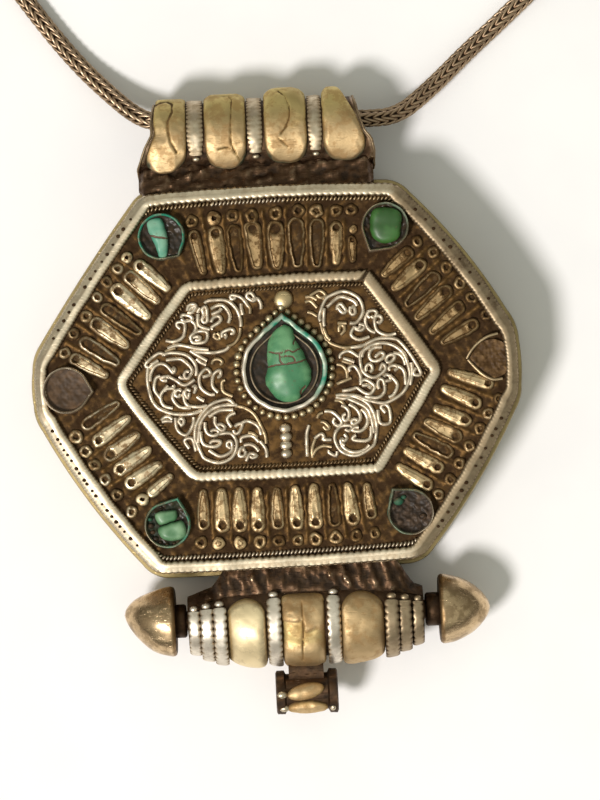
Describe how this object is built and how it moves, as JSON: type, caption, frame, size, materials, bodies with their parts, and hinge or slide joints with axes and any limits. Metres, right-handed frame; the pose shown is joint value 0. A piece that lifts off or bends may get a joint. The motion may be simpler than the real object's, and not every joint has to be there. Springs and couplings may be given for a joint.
{
  "type": "amulet box pendant on a neck chain",
  "caption": "Six-sided silver amulet box with a push-on back, set stones, tube bail with a neck chain, and a barrel with a knobbed turning pin and a small hanging tube.",
  "frame": {"origin": "middle of the box's flat back, on the surface it lies on", "axes": "+X to the viewer's right, +Y up to the bail, +Z out of the decorated front"},
  "size_m": [0.161, 0.2921, 0.0174],
  "materials": {
    "worn_silver": "worn bright on the high spots, dark brown patina in the recesses",
    "dark_silver": "blackened silver and solder",
    "gilt_sheet": "pale worn gilding, satin, cracked and dented",
    "aged_brass": "aged brass, rubbed at the rim",
    "dark_pitch": "old pitch, rough with glossy spots",
    "turquoise": "polished, with dark veins",
    "green_stone": "polished",
    "woven_chain": "woven wire, silver on the high spots and brown between"
  },
  "bodies": {
    "pendant": {"case_front": "worn_silver", "centre_pitch": "dark_pitch", "centre_stone": "turquoise", "pitch_upper_left": "dark_pitch", "pitch_upper_right": "dark_pitch", "pitch_left": "dark_pitch", "pitch_right": "dark_pitch", "pitch_lower_left": "dark_pitch", "pitch_lower_right": "dark_pitch", "stone_upper_left": "turquoise", "stone_upper_right": "green_stone", "stone_lower_left": "turquoise", "bail": "dark_silver", "bail_lobe_1": "gilt_sheet", "bail_lobe_2": "gilt_sheet", "bail_lobe_3": "gilt_sheet", "bail_lobe_4": "gilt_sheet", "barrel": "dark_silver", "barrel_lobe_left": "gilt_sheet", "barrel_lobe_centre": "gilt_sheet", "barrel_lobe_right": "gilt_sheet", "hanging_tube": "dark_silver", "chain": "woven_chain", "chain_clasp": "worn_silver"},
    "cover": {"back_cover": "aged_brass"},
    "lock_pin": {"pin_rod": "dark_silver", "knob_left": "gilt_sheet", "knob_right": "gilt_sheet"}
  },
  "joints": [
    {"name": "cover_slide", "type": "slide", "parent": "pendant", "child": "cover", "axis": [0, 0, -1], "range_m": [0, 0.015]},
    {"name": "pin_turn", "type": "hinge", "parent": "pendant", "child": "lock_pin", "pos_m": [0.0028, -0.037, 0.0076], "axis": [1, 0, 0], "continuous": true}
  ]
}
